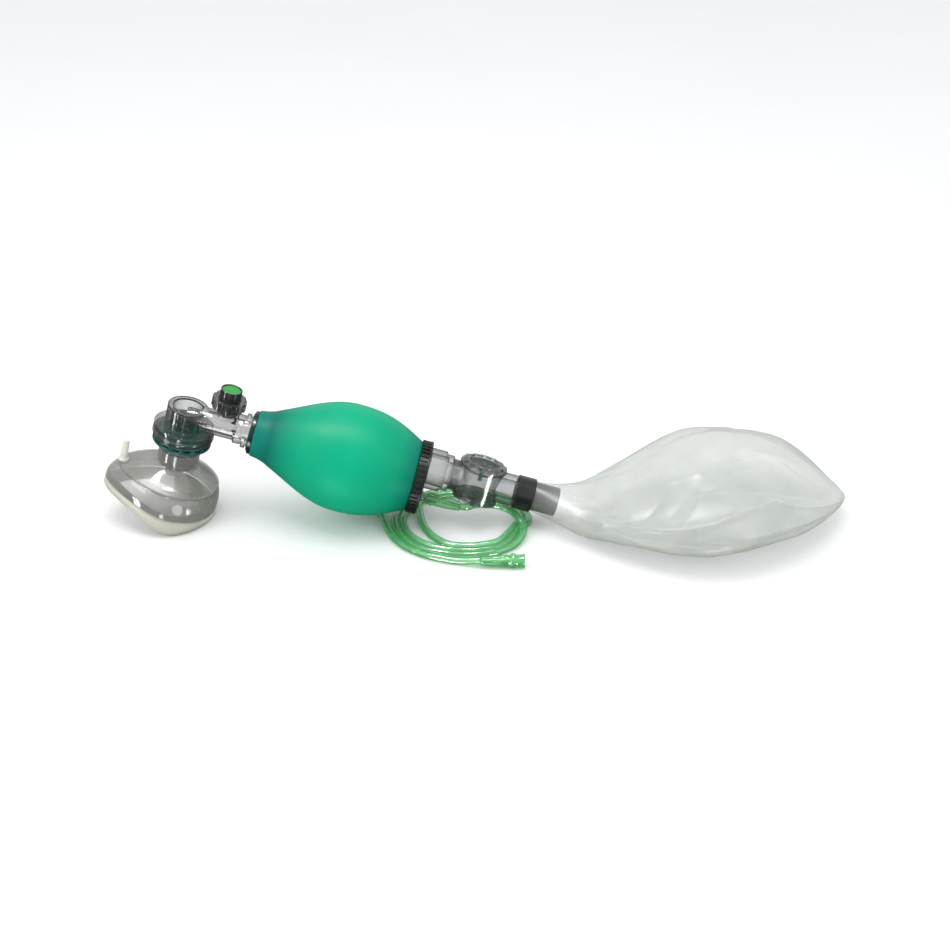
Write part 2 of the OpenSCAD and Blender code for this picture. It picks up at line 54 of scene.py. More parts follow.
# ------------------------------------------------------------------ frame
# The rigid parts lie along one tilted axis: AXIS runs along the squeeze bag, UP runs up
# the patient valve, and they meet at CROSSING, where the side arm enters the valve.
UP = Vector(mounts["exhaust_port"]["axis"]).normalized()
AXIS = Vector(mounts["hand_grip"]["axis"]).normalized()
PORT_TOP = 7.5
CROSSING = Vector(mounts["exhaust_port"]["pos_m"]) - UP * PORT_TOP * MM
FOOT = Vector((CROSSING.x, CROSSING.y, 0))
TILT = math.atan2(-AXIS.z, AXIS.x)
AXIS_HEIGHT = CROSSING.z / MM
MASK_TURN = math.radians(4)
BARREL_TURN = math.radians(7)
BARREL_UP = UP * math.cos(BARREL_TURN) + Vector((0, math.sin(BARREL_TURN), 0))
LAID = Matrix.Translation(CROSSING) @ Matrix.Rotation(TILT, 4, "Y") @ Matrix.Scale(MM, 4)
MASK = LAID @ Matrix.Rotation(MASK_TURN, 4, "Z")
# What stands on the floor is measured from the foot of the valve axis, in millimetres.
FLOOR = Matrix.Translation(FOOT) @ Matrix.Scale(MM, 4)


def mix(a, b, f):
    return a + (b - a) * f


def ease(f):
    c = min(1.0, max(0.0, f))
    return c * c * (3 - 2 * c)


def table_value(table, x, column=1):
    """Smooth value of a column of a table at x, level at its ends."""
    if x <= table[0][0]:
        return table[0][column]
    for a, b in zip(table, table[1:]):
        if x <= b[0]:
            return mix(a[column], b[column], ease((x - a[0]) / (b[0] - a[0])))
    return table[-1][column]


# ------------------------------------------------------------------ camera
CAMERA_FROM_CROSSING = Vector((0.2678, -0.9716, 0.4972))
VIEW = Vector((-0.0488, 0.8724, -0.4863))
camera_data = bpy.data.cameras.new("camera")
camera_data.lens = 56.5
camera_data.sensor_width = 36
camera_data.clip_end = 30
camera = bpy.data.objects.new("camera", camera_data)
bpy.context.scene.collection.objects.link(camera)
camera.location = CROSSING + CAMERA_FROM_CROSSING
camera.rotation_mode = "QUATERNION"
camera.rotation_quaternion = VIEW.to_track_quat("-Z", "Y")
bpy.context.scene.camera = camera

# ------------------------------------------------------------------ node helpers


def new_material(name):
    """An empty node material: its node tree, a function that adds a node, and its output."""
    material = bpy.data.materials.new(name)
    material.use_nodes = True
    tree = material.node_tree
    tree.nodes.clear()

    def add(kind, **values):
        node = tree.nodes.new(kind)
        for key, value in values.items():
            socket = key.replace("_", " ")
            if socket in node.inputs:
                node.inputs[socket].default_value = value
            else:
                setattr(node, key, value)
        return node

    return material, tree, add, add("ShaderNodeOutputMaterial")


def grain(tree, add, scale, detail):
    """Noise in the object's own space."""
    place = add("ShaderNodeTexCoord")
    pattern = add("ShaderNodeTexNoise", Scale=scale, Detail=detail, Roughness=0.6)
    tree.links.new(place.outputs["Object"], pattern.inputs["Vector"])
    return pattern.outputs["Fac"]


def ramp(tree, add, source, low, high, start=0.35, end=0.65):
    """Maps a pattern to a range of numbers."""
    node = add("ShaderNodeMapRange")
    node.inputs["From Min"].default_value = start
    node.inputs["From Max"].default_value = end
    node.inputs["To Min"].default_value = low
    node.inputs["To Max"].default_value = high
    tree.links.new(source, node.inputs["Value"])
    return node.outputs["Result"]


TONE_FROM, TONE_TO = 0.3, 0.7


def two_tone(tree, add, source, a, b):
    """A colour between a and b by a pattern."""
    node = add("ShaderNodeValToRGB")
    node.color_ramp.elements[0].position = TONE_FROM
    node.color_ramp.elements[1].position = TONE_TO
    node.color_ramp.elements[0].color = (*a, 1)
    node.color_ramp.elements[1].color = (*b, 1)
    tree.links.new(source, node.inputs["Fac"])
    return node.outputs["Color"]


def bump(tree, add, source, strength, distance):
    node = add("ShaderNodeBump", Strength=strength, Distance=distance)
    tree.links.new(source, node.inputs["Height"])
    return node.outputs["Normal"]


def distance_along(tree, add, direction, start, end):
    """0 to 1 over a stretch, in millimetres from the crossing, along a direction."""
    place = add("ShaderNodeTexCoord")
    dot = add("ShaderNodeVectorMath", operation="DOT_PRODUCT")
    dot.inputs[1].default_value = direction
    tree.links.new(place.outputs["Object"], dot.inputs[0])
    base = CROSSING.dot(direction)
    return ramp(tree, add, dot.outputs["Value"], 0, 1, base + start * MM, base + end * MM)


def distance_from_axis(tree, add):
    """Distance from the patient valve's axis, in metres."""
    place = add("ShaderNodeTexCoord")
    arm = add("ShaderNodeVectorMath", operation="SUBTRACT")
    arm.inputs[1].default_value = CROSSING
    tree.links.new(place.outputs["Object"], arm.inputs[0])
    across = add("ShaderNodeVectorMath", operation="CROSS_PRODUCT")
    across.inputs[1].default_value = UP
    tree.links.new(arm.outputs["Vector"], across.inputs[0])
    length = add("ShaderNodeVectorMath", operation="LENGTH")
    tree.links.new(across.outputs["Vector"], length.inputs[0])
    return length.outputs["Value"]


def stops(tree, add, source, colours):
    """A colour ramp through (position, colour) stops."""
    node = add("ShaderNodeValToRGB")
    first, last = node.color_ramp.elements
    first.position, last.position = colours[0][0], colours[-1][0]
    first.color, last.color = (*colours[0][1], 1), (*colours[-1][1], 1)
    for position, colour in colours[1:-1]:
        node.color_ramp.elements.new(position).color = (*colour, 1)
    tree.links.new(source, node.inputs["Fac"])
    return node.outputs["Color"]


BAG_X, BAG_LEN = 52, 122


def squeeze_silicone(name):
    """The bag's green silicone: darker at the cuff and at the nut, partly because the wall is
    thick there and partly as painted shade where the bag narrows, with the darkest painted shade
    in the waist just behind the cuff.
    """
    material, tree, add, output = new_material(name)
    shader = add("ShaderNodeBsdfPrincipled", Specular_IOR_Level=0.12, Subsurface_Weight=0.08,
                 Subsurface_Scale=0.004)
    along = distance_along(tree, add, AXIS, BAG_X, BAG_X + BAG_LEN)
    # Painted shade along the bag: a dark band in the waist behind the cuff and darker stops
    # towards the nut, on top of the thicker wall at both ends.
    colour = stops(tree, add, along, (
        (0.0, (0.0, 0.20, 0.145)), (0.06, (0.0, 0.19, 0.14)), (0.105, (0.0, 0.15, 0.11)),
        (0.17, (0.0, 0.25, 0.15)), (0.3, (0.0, 0.36, 0.19)), (0.6, (0.0, 0.40, 0.21)),
        (0.88, (0.0, 0.32, 0.17)), (0.97, (0.0, 0.20, 0.13)), (1.0, (0.0, 0.17, 0.12))))
    cloud = grain(tree, add, 22, 5)
    shade = add("ShaderNodeMix", data_type="RGBA", blend_type="MULTIPLY")
    shade.inputs["Factor"].default_value = 1
    tree.links.new(colour, shade.inputs[6])
    tree.links.new(two_tone(tree, add, cloud, (0.92, 0.92, 0.92), (1, 1, 1)), shade.inputs[7])
    tree.links.new(shade.outputs[2], shader.inputs["Base Color"])
    tree.links.new(ramp(tree, add, cloud, 0.36, 0.5), shader.inputs["Roughness"])
    speck = grain(tree, add, 1400, 3)
    tree.links.new(bump(tree, add, speck, 0.1, 0.0001), shader.inputs["Normal"])
    tree.links.new(shader.outputs["BSDF"], output.inputs["Surface"])
    return material


def moulded(name, dark, light, rough, fine=900, bumpy=0.15, broad=35, **settings):
    """An opaque moulded plastic or rubber: mottled colour, uneven gloss and a fine grain."""
    material, tree, add, output = new_material(name)
    shader = add("ShaderNodeBsdfPrincipled", **settings)
    cloud = grain(tree, add, broad, 5)
    speck = grain(tree, add, fine, 3)
    tree.links.new(two_tone(tree, add, cloud, dark, light), shader.inputs["Base Color"])
    tree.links.new(ramp(tree, add, cloud, rough - 0.06, rough + 0.08), shader.inputs["Roughness"])
    tree.links.new(bump(tree, add, speck, bumpy, 0.00012), shader.inputs["Normal"])
    tree.links.new(shader.outputs["BSDF"], output.inputs["Surface"])
    return material


GLANCE_POWER = 4.5
# Width of the painted dark edge lines round the port's top, and the depth below the top where
# they fade in, in millimetres
RIM_LINE, RIM_DEPTH = 0.9, 1.4


def clear(name, dark, light, face, edge, tint=(1, 1, 1), power=3.0, rough=0.07, gloss=0.04,
          glance_gloss=0.16, waves=60, thin=None, painted_edge_radii=()):
    """A see-through plastic: it shows more of its own colour where it is seen edge on, and
    carries a clean reflection on top. With thin (start, end, share) it has only a share of its
    colour at the start of a stretch along the axis, and all of it from the end on. Given radii,
    it has a full-colour line at each radius round the top of the exhaust port: a painted dark
    edge standing in for the dark look that refraction gives the clear rims there."""
    material, tree, add, output = new_material(name)
    cloud = grain(tree, add, waves, 4)
    body = add("ShaderNodeBsdfPrincipled")
    tree.links.new(two_tone(tree, add, cloud, dark, light), body.inputs["Base Color"])
    tree.links.new(ramp(tree, add, cloud, 0.3, 0.45), body.inputs["Roughness"])
    through = add("ShaderNodeBsdfTransparent", Color=(*tint, 1))
    facing = add("ShaderNodeLayerWeight", Blend=0.5)
    curve = add("ShaderNodeMath", operation="POWER")
    curve.inputs[1].default_value = power
    tree.links.new(facing.outputs["Facing"], curve.inputs[0])
    solid = ramp(tree, add, curve.outputs[0], face, edge, 0, 1)
    if thin:
        start, end, share = thin
        stretch = add("ShaderNodeMapRange")
        stretch.inputs["To Min"].default_value = share
        tree.links.new(distance_along(tree, add, AXIS, start, end), stretch.inputs["Value"])
        thinned = add("ShaderNodeMath", operation="MULTIPLY")
        tree.links.new(solid, thinned.inputs[0])
        tree.links.new(stretch.outputs["Result"], thinned.inputs[1])
        solid = thinned.outputs[0]
    # Painted dark edge: an opaque line of the body colour at each radius near the top of the
    # port.
    for radius in painted_edge_radii:
        line = add("ShaderNodeMath", operation="COMPARE")
        line.inputs[1].default_value = radius * MM
        line.inputs[2].default_value = RIM_LINE / 2 * MM
        tree.links.new(distance_from_axis(tree, add), line.inputs[0])
        near_top = add("ShaderNodeMath", operation="MULTIPLY")
        tree.links.new(line.outputs[0], near_top.inputs[0])
        height = distance_along(tree, add, UP, PORT_TOP - RIM_DEPTH, PORT_TOP - RIM_DEPTH + 0.5)
        tree.links.new(height, near_top.inputs[1])
        darker = add("ShaderNodeMath", operation="MAXIMUM")
        tree.links.new(solid, darker.inputs[0])
        tree.links.new(near_top.outputs[0], darker.inputs[1])
        solid = darker.outputs[0]
    inner = add("ShaderNodeMixShader")
    tree.links.new(solid, inner.inputs["Fac"])
    tree.links.new(through.outputs[0], inner.inputs[1])
    tree.links.new(body.outputs[0], inner.inputs[2])
    mirror = add("ShaderNodeBsdfGlossy", Color=(1, 1, 1, 1), Roughness=rough)
    soft = bump(tree, add, cloud, 0.12, 0.0006)
    tree.links.new(soft, mirror.inputs["Normal"])
    glance = add("ShaderNodeMath", operation="POWER")
    glance.inputs[1].default_value = GLANCE_POWER
    tree.links.new(facing.outputs["Facing"], glance.inputs[0])
    shine = ramp(tree, add, glance.outputs[0], gloss, glance_gloss, 0, 1)
    outer = add("ShaderNodeMixShader")
    tree.links.new(shine, outer.inputs["Fac"])
    tree.links.new(inner.outputs[0], outer.inputs[1])
    tree.links.new(mirror.outputs[0], outer.inputs[2])
    tree.links.new(outer.outputs[0], output.inputs["Surface"])
    return material


# ------------------------------------------------------------------ materials
SMOKE = clear("smoke_clear", (0.02, 0.022, 0.02), (0.05, 0.054, 0.05), 0.19, 1.0, power=1.5,
              glance_gloss=0.1)
# The port's smoke carries painted dark edge lines at two radii round its top.
PORT_SMOKE = clear("port_smoke", (0.012, 0.014, 0.012), (0.03, 0.034, 0.03), 0.2, 1.0, power=1.5,
                   glance_gloss=0.1, painted_edge_radii=(14.6, 11.4))
RIB_SMOKE = clear("rib_smoke", (0.03, 0.032, 0.03), (0.07, 0.074, 0.07), 0.3, 1.0, power=1.2,
                  glance_gloss=0.3)
DARK_SMOKE = clear("dark_smoke", (0.01, 0.012, 0.012), (0.035, 0.039, 0.039), 0.6, 1.0, power=1.2)
CAP_SMOKE = clear("cap_smoke", (0.004, 0.005, 0.005), (0.014, 0.016, 0.016), 0.85, 1.0, rough=0.1)
DOME_CLEAR = clear("dome_clear", (0.22, 0.22, 0.20), (0.3, 0.3, 0.28), 0.4, 0.97, power=2.4,
                   glance_gloss=0.1)
GREY = moulded("grey_plastic_looks", (0.06, 0.06, 0.065), (0.1, 0.1, 0.108), 0.36)
DARK_GREY = moulded("dark_grey_looks", (0.02, 0.02, 0.022), (0.045, 0.045, 0.048), 0.36)
SOCKET_GREY = moulded("socket_grey", (0.13, 0.128, 0.14), (0.2, 0.195, 0.21), 0.3)
BLACK = moulded("black_plastic_looks", (0.005, 0.005, 0.005), (0.013, 0.013, 0.013), 0.3,
               Specular_IOR_Level=0.28)
RUBBER = moulded("black_rubber_looks", (0.005, 0.006, 0.005), (0.014, 0.015, 0.014), 0.2,
                Specular_IOR_Level=0.45)
TEAL = moulded("teal_silicone", (0.0, 0.13, 0.10), (0.0, 0.19, 0.145), 0.34)
BRIGHT_TEAL = moulded("bright_teal_silicone", (0.0, 0.30, 0.225), (0.0, 0.38, 0.29), 0.34)
STUD = clear("stud_clear", (0.5, 0.51, 0.48), (0.62, 0.63, 0.6), 0.4, 0.95, rough=0.12)
# A darker copy of the teal silicone for the castle ring: painted shade standing in for the dark
# look of its slots.
SHADED_TEAL = moulded("teal_silicone_painted_shade", (0.0, 0.05, 0.04), (0.0, 0.09, 0.07), 0.34)
DISC = moulded("indicator_green", (0.0, 0.26, 0.015), (0.0, 0.34, 0.03), 0.12, bumpy=0.02)
VINYL = moulded("white_vinyl_looks", (0.66, 0.67, 0.60), (0.78, 0.79, 0.72), 0.3,
                Subsurface_Weight=0.3, Subsurface_Scale=0.003)
STEEL = moulded("spring_steel_looks", (0.45, 0.45, 0.46), (0.62, 0.62, 0.63), 0.25, Metallic=1.0)
BAG = squeeze_silicone("bag_silicone_with_painted_shade")
CUSHION = moulded("cushion_vinyl", (0.44, 0.44, 0.365), (0.56, 0.555, 0.48), 0.34, fine=500,
                  Subsurface_Weight=0.35, Subsurface_Scale=0.006)
TUBING = clear("green_tubing", (0.09, 0.42, 0.15), (0.13, 0.5, 0.19), 0.32, 0.95,
               tint=(0.7, 0.97, 0.75), power=1.7, rough=0.1, gloss=0.06, glance_gloss=0.45,
               waves=25)
FILM = clear("milky_film", (0.46, 0.49, 0.45), (0.56, 0.59, 0.545), 0.42, 0.94, power=1.8,
             rough=0.34, gloss=0.03, glance_gloss=0.3, waves=40, thin=(266, 312, 0.3))


def leaf_and_stem(name, level):
    """A valve whose leaf, above a height up the barrel in millimetres, is clear, and whose
    stem below is teal."""
    material, tree, add, output = new_material(name)
    stem = add("ShaderNodeBsdfPrincipled", Roughness=0.3)
    cloud = grain(tree, add, 60, 4)
    tree.links.new(two_tone(tree, add, cloud, (0.0, 0.28, 0.22), (0.0, 0.36, 0.29)),
                   stem.inputs["Base Color"])
    leaf = add("ShaderNodeBsdfPrincipled", Base_Color=(0.03, 0.045, 0.04, 1), Roughness=0.2)
    through = add("ShaderNodeBsdfTransparent", Color=(0.9, 0.95, 0.93, 1))
    thin = add("ShaderNodeMixShader")
    tree.links.new(ramp(tree, add, cloud, 0.3, 0.42), thin.inputs["Fac"])
    tree.links.new(through.outputs[0], thin.inputs[1])
    tree.links.new(leaf.outputs[0], thin.inputs[2])
    both = add("ShaderNodeMixShader")
    height = distance_along(tree, add, BARREL_UP, level - 0.1, level + 0.1)
    tree.links.new(height, both.inputs["Fac"])
    tree.links.new(stem.outputs[0], both.inputs[1])
    tree.links.new(thin.outputs[0], both.inputs[2])
    tree.links.new(both.outputs[0], output.inputs["Surface"])
    return material


LEAF_WALL, LEAF_SPARE = 0.9, 0.15


def leaf_level(node_name):
    """Height up the barrel, in millimetres from the crossing, just under a valve's leaf."""
    top = max((vertex.co - CROSSING).dot(BARREL_UP) for vertex in nodes[node_name].data.vertices)
    return top / MM - LEAF_WALL - LEAF_SPARE


RELIEF_LEAF = leaf_and_stem("relief_leaf", leaf_level("reservoir_relief"))
INLET_LEAF = leaf_and_stem("inlet_leaf", leaf_level("air_inlet_valve"))

LOOKS = {
    "exhaust_housing": PORT_SMOKE, "valve_body": RIB_SMOKE, "exhalation_flap": BRIGHT_TEAL,
    "duckbill_valve": BRIGHT_TEAL, "castle_ring": SHADED_TEAL, "patient_connector": GREY,
    "mask_connector": SOCKET_GREY, "strap_studs": STUD, "inflation_tube": VINYL,
    "inflation_plug": VINYL, "relief_body": DARK_SMOKE, "relief_poppet": TEAL,
    "relief_collar": DARK_SMOKE, "relief_cap": CAP_SMOKE, "relief_disc": DISC,
    "neck_coupling": SMOKE, "coupling_clips": BLACK, "neck_seal": TEAL, "neck_ring": RUBBER,
    "rear_nut": BLACK, "intake_housing": SMOKE, "intake_seat": RIB_SMOKE, "intake_valve": TEAL,
    "oxygen_nipple": SMOKE, "reservoir_barrel": SMOKE, "barrel_cap": RIB_SMOKE,
    "reservoir_relief": RELIEF_LEAF, "barrel_floor": SMOKE, "air_inlet_valve": INLET_LEAF,
    "reservoir_sleeve": RUBBER, "reservoir_connector": DARK_GREY, "tube_socket": TUBING,
}


def finish_node(obj, material, bevel):
    """Puts a material on a CAD node, rounds its edges a little and smooths its shading."""
    obj.data.materials.clear()
    obj.data.materials.append(material)
    for polygon in obj.data.polygons:
        polygon.use_smooth = True
    weld = obj.modifiers.new("weld", "WELD")
    weld.merge_threshold = 1e-5
    edge = obj.modifiers.new("edge", "BEVEL")
    edge.width = bevel * MM
    edge.segments = 2
    edge.limit_method = "ANGLE"
    edge.angle_limit = math.radians(40)
    normals = obj.modifiers.new("normals", "WEIGHTED_NORMAL")
    normals.keep_sharp = False


# Width of the rounded edges in millimetres, where it is not the usual one
USUAL_EDGE = 0.3
EDGES = {"relief_disc": 0.12, "coupling_clips": 0.12, "duckbill_valve": 0.12,
         "exhalation_flap": 0.12, "strap_studs": 0.8}
for node_name, looks in LOOKS.items():
    finish_node(nodes[node_name], looks, EDGES.get(node_name, USUAL_EDGE))


# ------------------------------------------------------------------ mesh helpers
def make(name, points, faces, material, place):
    """A smooth mesh object from points in millimetres, set in the row frame by place."""
    mesh = bpy.data.meshes.new(name)
    mesh.from_pydata([place @ Vector(p) for p in points], [], faces)
    mesh.validate()
    for polygon in mesh.polygons:
        polygon.use_smooth = True
    mesh.materials.append(material)
    obj = bpy.data.objects.new(name, mesh)
    bpy.context.scene.collection.objects.link(obj)
    return obj


def grid_faces(rows, columns, close_rows=False):
    """Quads over rows of points, each row closed on itself."""
    faces = []
    for j in range(rows if close_rows else rows - 1):
        k = (j + 1) % rows
        for i in range(columns):
            n = (i + 1) % columns
            faces.append((j * columns + i, j * columns + n, k * columns + n, k * columns + i))
    return faces


def lathe(name, profile, sides, material, place, flutes, depth, fluted):
    """A hollow turned piece from (distance, radius) points out and back along its axis, with
    flutes from one distance to another and outside a radius, the three values of fluted."""
    start, end, least = fluted
    points = []
    for x, r in profile:
        for k in range(sides):
            b = math.tau * k / sides
            cut = depth * math.cos(flutes * b) if start < x < end and r > least else 0
            points.append(((r + cut) * math.cos(b), (r + cut) * math.sin(b), x))
    return make(name, points, grid_faces(len(profile), sides, close_rows=True), material, place)


# ------------------------------------------------------------------ oxygen tube
# The centreline in millimetres from the foot of the valve axis. It leaves its socket, bends
# down at the right, makes nearly two and a half turns on the floor, slips behind the nut,
# turns back under the squeeze bag and runs along the front of the coil to its connector.
TUBE_D = 5.5
# Height of the tube's middle line where it lies on the floor
REST = 2.85
COIL_AT = (206.5, -4)
COIL_FLAT = 0.91
REAR_X = 181.9
NIPPLE_DROP = 15.5
SOCKET_FROM_REAR = 31.9
SOCKET_AT = REAR_X + SOCKET_FROM_REAR
socket_x = SOCKET_AT * math.cos(TILT) - NIPPLE_DROP * math.sin(TILT)
socket_z = AXIS_HEIGHT - SOCKET_AT * math.sin(TILT) - NIPPLE_DROP * math.cos(TILT)
NEAR_LEAD = [(socket_x, 0, socket_z), (socket_x + 4.8, 1, socket_z - 1.2), (213, 5.5, 11.6),
             (224, 6.5, 11.6), (234, 4, 11.4), (242, -2, 10.8), (247, -10, 9.4)]
COIL_START = -17
# Turned angle, radius and height along the coil
COIL = [(0, 46, 7.2), (13, 50, 4.9), (28, 53, REST), (200, 53.6, REST), (343, 47.5, REST),
        (360, 42.2, REST), (373, 43.6, REST), (388, 46.6, REST), (560, 47.3, REST),
        (703, 41.2, REST), (720, 36.2, REST), (733, 37.2, REST), (748, 40, REST),
        (800, 39.5, REST), (846, 33, REST)]
BEHIND_NUT = [(174, -8, REST), (170.8, 6, 4.2), (167.6, 20, 7.6), (165.4, 33, 8.8), (163, 44, 7),
              (157, 55, 4.2), (146, 61.5, 2.9), (134, 59, REST), (126.5, 49, REST),
              (125.5, 36, REST), (130, 23, REST), (137.6, 9, REST), (143.4, -2, REST),
              (146.6, -12, REST), (151.2, -24, REST), (158.5, -36, REST), (168.6, -46, REST),
              (181, -53.6, REST), (194.5, -58.4, REST), (204, -60.6, 3.0)]
FAR_LEAD = [(209, -61.6, 3.6), (214, -62.4, 4.5), (221, -63.5, 5.5)]
COIL_STEP = 19


def coil_point(turned):
    angle = math.radians(COIL_START - turned)
    radius = table_value(COIL, turned)
    return (COIL_AT[0] + radius * math.cos(angle),
            COIL_AT[1] + COIL_FLAT * radius * math.sin(angle),
            table_value(COIL, turned, 2))


coil_steps = round(COIL[-1][0] / COIL_STEP)
route = NEAR_LEAD + [coil_point(COIL[-1][0] * i / coil_steps) for i in range(coil_steps + 1)]
route += BEHIND_NUT + FAR_LEAD

# The supply connector: a fluted cone, a collar and an open end.
END_AT = FAR_LEAD[-1]
END_TURN = math.radians(3)
END_SIDES, END_FLUTES, FLUTE_DEPTH = 72, 9, 0.16
# Distance from the tube and radius, out along the outside and back through the bore
END_PROFILE = [(0, 2.9), (0.3, 3.3), (2, 3.6), (6, 3.75), (10, 3.9), (14, 4.05), (18, 4.2),
               (21.4, 4.3), (22, 5.0), (22.6, 5.45), (24.4, 5.45), (25, 5.1), (25.6, 4.5),
               (30.4, 4.6), (31, 4.95), (31.7, 4.95), (32, 4.6), (31.9, 3.4), (31, 3.3),
               (15, 3.0), (14.2, 2.6), (13.8, 2.0), (1, 1.9), (0, 2.2)]
END_PLACE = (FLOOR @ Matrix.Translation(END_AT) @ Matrix.Rotation(END_TURN, 4, "Z")
             @ Matrix.Rotation(math.radians(90), 4, "Y"))
connector = lathe("supply_connector", END_PROFILE, END_SIDES, TUBING, END_PLACE,
                  END_FLUTES, FLUTE_DEPTH, (1, 21, 3.3))
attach(connector, "resuscitator")
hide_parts("tube_end")

curve_data = bpy.data.curves.new("oxygen_line", "CURVE")
curve_data.dimensions = "3D"
curve_data.bevel_depth = TUBE_D / 2 * MM
curve_data.bevel_resolution = 5
curve_data.resolution_u = 6
curve_data.use_fill_caps = True
spline = curve_data.splines.new("BEZIER")
spline.bezier_points.add(len(route) - 1)
for point, at in zip(spline.bezier_points, route):
    point.co = FLOOR @ Vector(at)
    point.handle_left_type = point.handle_right_type = "AUTO"
curve_data.materials.append(TUBING)
oxygen_line = bpy.data.objects.new("oxygen_line", curve_data)
bpy.context.scene.collection.objects.link(oxygen_line)
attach(oxygen_line, "resuscitator")
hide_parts("oxygen_tube", "oxygen_coil")

# ------------------------------------------------------------------ mask
MASK_NOSE, MASK_CHIN, MASK_HALF_W, MASK_TAPER = 50.5, 35, 38, 0.42
SEAM_DEPTH, MASK_PITCH = 70, 0.1
SLEEVE_R = 15.4
NECK_BOTTOM = 41.5
# Reach to the nose, reach to the chin, half width, taper, depth
DOME = [(SLEEVE_R, SLEEVE_R, SLEEVE_R, 0, 28.5), (SLEEVE_R, SLEEVE_R, SLEEVE_R, 0, 36),
        (SLEEVE_R, SLEEVE_R, SLEEVE_R, 0, NECK_BOTTOM),
        (19, 18.5, 18, 0, 44), (26, 23, 22.5, 0.08, 47.5), (34, 27.5, 27, 0.18, 50.5),
        (40.5, 31.5, 31.5, 0.28, 52.8), (45.5, 34.5, 35.2, 0.35, 56.5),
        (MASK_NOSE - 1.2, MASK_CHIN + 0.6, MASK_HALF_W - 0.6, 0.4, 63),
        (MASK_NOSE, MASK_CHIN, MASK_HALF_W, MASK_TAPER, SEAM_DEPTH)]
BEAD_LEVEL, BEAD_SPREAD, BEAD_HIGH = 6.25, 0.17, 1.5
DOME_SIDES = 112
DOME_SUBSTEPS = 9


def egg(nose, chin, half_w, taper, angle):
    """A point of a mask outline: longer and narrower to the nose, round at the chin."""
    c, s = math.cos(angle), math.sin(angle)
    return (nose if c < 0 else chin) * c, half_w * s * (1 - taper * max(0.0, -c) ** 1.6)


def between(levels, x):
    """Catmull-Rom value of a list of number rows at x."""
    j = min(int(x), len(levels) - 2)
    t = x - j
    a, b, c, d = (levels[min(max(k, 0), len(levels) - 1)] for k in (j - 1, j, j + 1, j + 2))
    return [q + 0.5 * t * (r - p + t * (2 * p - 5 * q + 4 * r - s + t * (3 * (q - r) + s - p)))
            for p, q, r, s in zip(a, b, c, d)]


def dome_point(level, angle, inset=0.0):
    v = between(DOME, level)
    x, y = egg(v[0] - inset, v[1] - inset, v[2] - inset, v[3], angle)
    pitch = MASK_PITCH * max(0, level - 2) / (len(DOME) - 3)
    # A low bead runs round the shoulder where the bell turns down to the skirt.
    bead = BEAD_HIGH * math.exp(-((level - BEAD_LEVEL) / BEAD_SPREAD) ** 2)
    scale = 1 + bead / max(math.hypot(x, y), 1)
    return Vector((x * scale, y * scale, -v[4] + bead * 0.8 - x * pitch))


dome_rows = (len(DOME) - 1) * DOME_SUBSTEPS + 1
dome_points = [dome_point(j / DOME_SUBSTEPS, math.tau * i / DOME_SIDES)
               for j in range(dome_rows) for i in range(DOME_SIDES)]
dome_shell = make("dome_shell", dome_points, grid_faces(dome_rows, DOME_SIDES), DOME_CLEAR, MASK)
wall = dome_shell.modifiers.new("wall", "SOLIDIFY")
wall.thickness = 1.3 * MM
wall.offset = 1
wall.use_even_offset = True
rim = dome_shell.modifiers.new("rim", "BEVEL")
rim.width = 0.3 * MM
rim.segments = 2
rim.limit_method = "ANGLE"
rim.angle_limit = math.radians(60)
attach(dome_shell, "mask")
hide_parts("mask_dome")

# The cushion: an oval tube along the seam. It rests on the floor round the chin and rises
# to its free depth over a stretch of degrees towards the nose.
CUSHION_W, CUSHION_IN, FREE_DEPTH = 11.4, 5.3, 8
RISE_FROM, RISE_OVER = 68, 56
CUSHION_TURNS, CUSHION_SIDES = 144, 28


def floor_depth(x, y):
    out = x * math.cos(MASK_TURN) - y * math.sin(MASK_TURN)
    return (AXIS_HEIGHT - out * math.sin(TILT)) / math.cos(TILT)


def cushion_point(a, b):
    """Point at angle a round the mask, from the chin, and b round the cushion's section."""
    reach = (MASK_NOSE - CUSHION_IN, MASK_CHIN - CUSHION_IN, MASK_HALF_W - CUSHION_IN,
             MASK_TAPER)
    p = Vector(egg(*reach, a))
    q = Vector(egg(*reach, a + math.radians(2)))
    n = Vector((q.y - p.y, p.x - q.x)).normalized()
    w = CUSHION_W / 2 * math.copysign(abs(math.cos(b)) ** 0.8, math.cos(b))
    x, y = p.x + n.x * w, p.y + n.y * w
    seam = SEAM_DEPTH + x * MASK_PITCH
    rise = ease((abs(math.degrees(a)) - RISE_FROM) / RISE_OVER)
    low = mix(floor_depth(x, y), seam + FREE_DEPTH, rise)
    top = seam + 0.1
    s = math.copysign(abs(math.sin(b)) ** 0.9, math.sin(b))
    ripple = 0.25 * noise.noise(Vector((4 * math.cos(a), 4 * math.sin(a), 1.5 * math.sin(b))))
    return Vector((x + n.x * ripple, y + n.y * ripple, -(top + low) / 2 + (low - top) / 2 * s))


cushion_points = [cushion_point(math.tau * i / CUSHION_TURNS - math.pi,
                                math.tau * k / CUSHION_SIDES)
                  for i in range(CUSHION_TURNS) for k in range(CUSHION_SIDES)]
cushion = make("face_cushion", cushion_points,
               grid_faces(CUSHION_TURNS, CUSHION_SIDES, close_rows=True), CUSHION, MASK)
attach(cushion, "mask")
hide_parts("mask_cushion")

# ------------------------------------------------------------------ squeeze bag
BAG_D, BAG_NECK_D, BAG_REAR_D, BAG_WALL = 82, 34, 52, 1.8
BAG_PEAK = 0.57
BAG_STEPS, BAG_SIDES = 90, 128


def bag_radius(f):
    if f < BAG_PEAK:
        rise = math.sin(math.pi / 2 * (f / BAG_PEAK) ** 1.12) ** 1.25
        return mix(BAG_NECK_D / 2, BAG_D / 2, rise)
    fall = math.cos(math.pi / 2 * ((f - BAG_PEAK) / (1 - BAG_PEAK)) ** 1.25)
    return mix(BAG_REAR_D / 2, BAG_D / 2, fall)


